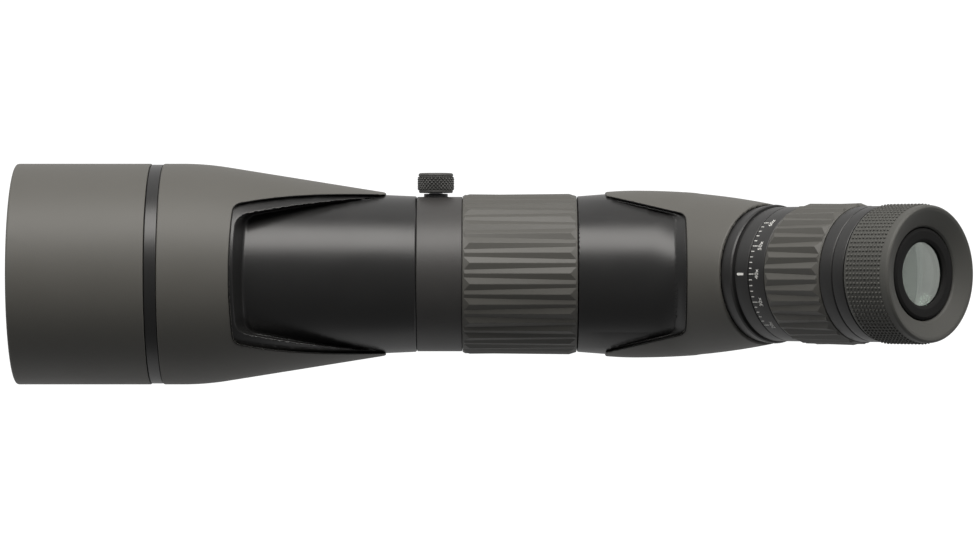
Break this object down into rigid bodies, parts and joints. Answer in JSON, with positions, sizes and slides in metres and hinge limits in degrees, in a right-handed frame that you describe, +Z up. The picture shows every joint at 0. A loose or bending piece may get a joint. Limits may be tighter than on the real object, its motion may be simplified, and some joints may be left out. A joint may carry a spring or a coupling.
{
  "type": "angled spotting scope",
  "caption": "Angled spotting scope with sliding sunshade, focusing ring, zoom eyepiece, twist-up eyecup and a rotating tripod collar with lock knob.",
  "frame": {"origin": "mouth of the quarter-inch tripod socket, at the middle of the foot's face", "axes": "+X from the objective to the eyepiece, +Y towards the lock knob, +Z up from the foot through the optical axis"},
  "size_m": [0.4071, 0.096, 0.1697],
  "materials": {
    "armour": "fine matte grey-green rubber armour",
    "grip": "matte grey-green moulded rubber",
    "tube": "satin black anodised aluminium",
    "collar": "bead-blasted black anodised aluminium",
    "housing": "satin black painted aluminium casting",
    "inner_tube": "matte black anodised, grooved against stray light",
    "steel": "ground steel",
    "bronze": "machined brass",
    "nylon": "natural nylon",
    "felt": "black felt",
    "seal": "smooth black nitrile",
    "coated_glass": "multi-coated optical glass with green reflections",
    "glass": "polished optical glass"
  },
  "bodies": {
    "tripod_collar": {"mount_collar": "collar", "collar_liner": "nylon", "socket_insert": "bronze", "lock_bushing": "collar"},
    "brake_shoe": {"brake_shoe": "nylon"},
    "lock_knob": {"lock_knob": "grip", "lock_stud": "steel"},
    "scope_body": {"objective_barrel": "tube", "front_armour": "armour", "objective_cell": "inner_tube", "objective_front_lens": "coated_glass", "objective_rear_lens": "coated_glass", "objective_spacer": "inner_tube", "objective_retainer": "tube", "objective_seal": "seal", "shade_felt_rings": "felt", "shade_stop_ring": "steel", "barrel_baffles": "inner_tube", "guide_tube": "inner_tube", "prism_housing": "housing", "rear_armour": "armour", "prism_cage": "steel", "roof_prism": "glass", "prism_clamp": "steel", "prism_screws": "steel", "eyepiece_barrel": "tube", "eyepiece_seal": "seal", "field_stop": "inner_tube", "index_ring": "tube", "eye_collar": "tube", "eyecup_stop_ring": "tube", "eyecup_guide": "inner_tube", "eye_lens_housing": "tube", "eye_lens": "coated_glass", "eye_doublet": "glass"},
    "sunshade": {"sunshade_tube": "tube", "sunshade_armour": "armour"},
    "focus_ring": {"focus_sleeve": "tube", "focus_grip": "grip", "focus_seals": "seal"},
    "focus_carriage": {"focus_cell": "inner_tube", "focus_lens": "glass", "focus_lens_retainer": "inner_tube", "focus_pins": "steel"},
    "zoom_ring": {"zoom_cam": "steel", "zoom_sleeve": "tube", "scale_ring": "tube", "zoom_grip": "grip"},
    "zoom_front_carriage": {"zoom_front_cell": "inner_tube", "zoom_front_lens": "glass", "zoom_front_pins": "steel"},
    "zoom_rear_carriage": {"zoom_rear_cell": "inner_tube", "zoom_rear_lens": "glass", "zoom_rear_pins": "steel"},
    "eyecup_carrier": {"eyecup_detent_ring": "steel"},
    "eyecup": {"eyecup_sleeve": "tube", "eyecup_rubber": "grip", "eyecup_pins": "steel"}
  },
  "joints": [
    {"name": "scope_rotation", "type": "hinge", "parent": "tripod_collar", "child": "scope_body", "pos_m": [0, 0, 0.056], "axis": [1, 0, 0], "continuous": true},
    {"name": "brake_slide", "type": "slide", "parent": "tripod_collar", "child": "brake_shoe", "axis": [0, 1, 0], "range_m": [0, 0.001]},
    {"name": "lock_knob_turn", "type": "hinge", "parent": "brake_shoe", "child": "lock_knob", "pos_m": [-0.0017, 0.035, 0.056], "axis": [0, 1, 0], "range_deg": [0, 360.01]},
    {"name": "sunshade_slide", "type": "slide", "parent": "scope_body", "child": "sunshade", "axis": [-1, 0, 0], "range_m": [0, 0.035]},
    {"name": "focus_turn", "type": "hinge", "parent": "scope_body", "child": "focus_ring", "pos_m": [0.034, 0, 0.056], "axis": [1, 0, 0], "range_deg": [-90, 90]},
    {"name": "focus_lens_slide", "type": "slide", "parent": "scope_body", "child": "focus_carriage", "axis": [1, 0, 0], "range_m": [-0.00601, 0.00601]},
    {"name": "zoom_turn", "type": "hinge", "parent": "scope_body", "child": "zoom_ring", "pos_m": [0.1096, 0, 0.056], "axis": [0.7071, 0, 0.7071], "range_deg": [-49, 49]},
    {"name": "zoom_front_slide", "type": "slide", "parent": "scope_body", "child": "zoom_front_carriage", "axis": [0.7071, 0, 0.7071], "range_m": [-0.00501, 0.00501]},
    {"name": "zoom_rear_slide", "type": "slide", "parent": "scope_body", "child": "zoom_rear_carriage", "axis": [0.7071, 0, 0.7071], "range_m": [-0.00401, 0.00401]},
    {"name": "eyecup_rise", "type": "slide", "parent": "scope_body", "child": "eyecup_carrier", "axis": [0.7071, 0, 0.7071], "range_m": [0, 0.00901]},
    {"name": "eyecup_twist", "type": "hinge", "parent": "eyecup_carrier", "child": "eyecup", "pos_m": [0.1096, 0, 0.056], "axis": [0.7071, 0, 0.7071], "range_deg": [0, 180]}
  ],
  "couplings": [
    {"joint": "lock_knob_turn", "follows": "brake_slide", "rad_per_m": 6283.2},
    {"joint": "focus_lens_slide", "follows": "focus_turn", "m_per_rad": 0.0038197},
    {"joint": "zoom_front_slide", "follows": "zoom_turn", "m_per_rad": 0.0058465},
    {"joint": "zoom_rear_slide", "follows": "zoom_turn", "m_per_rad": -0.0046772},
    {"joint": "eyecup_rise", "follows": "eyecup_twist", "m_per_rad": 0.0028648}
  ]
}
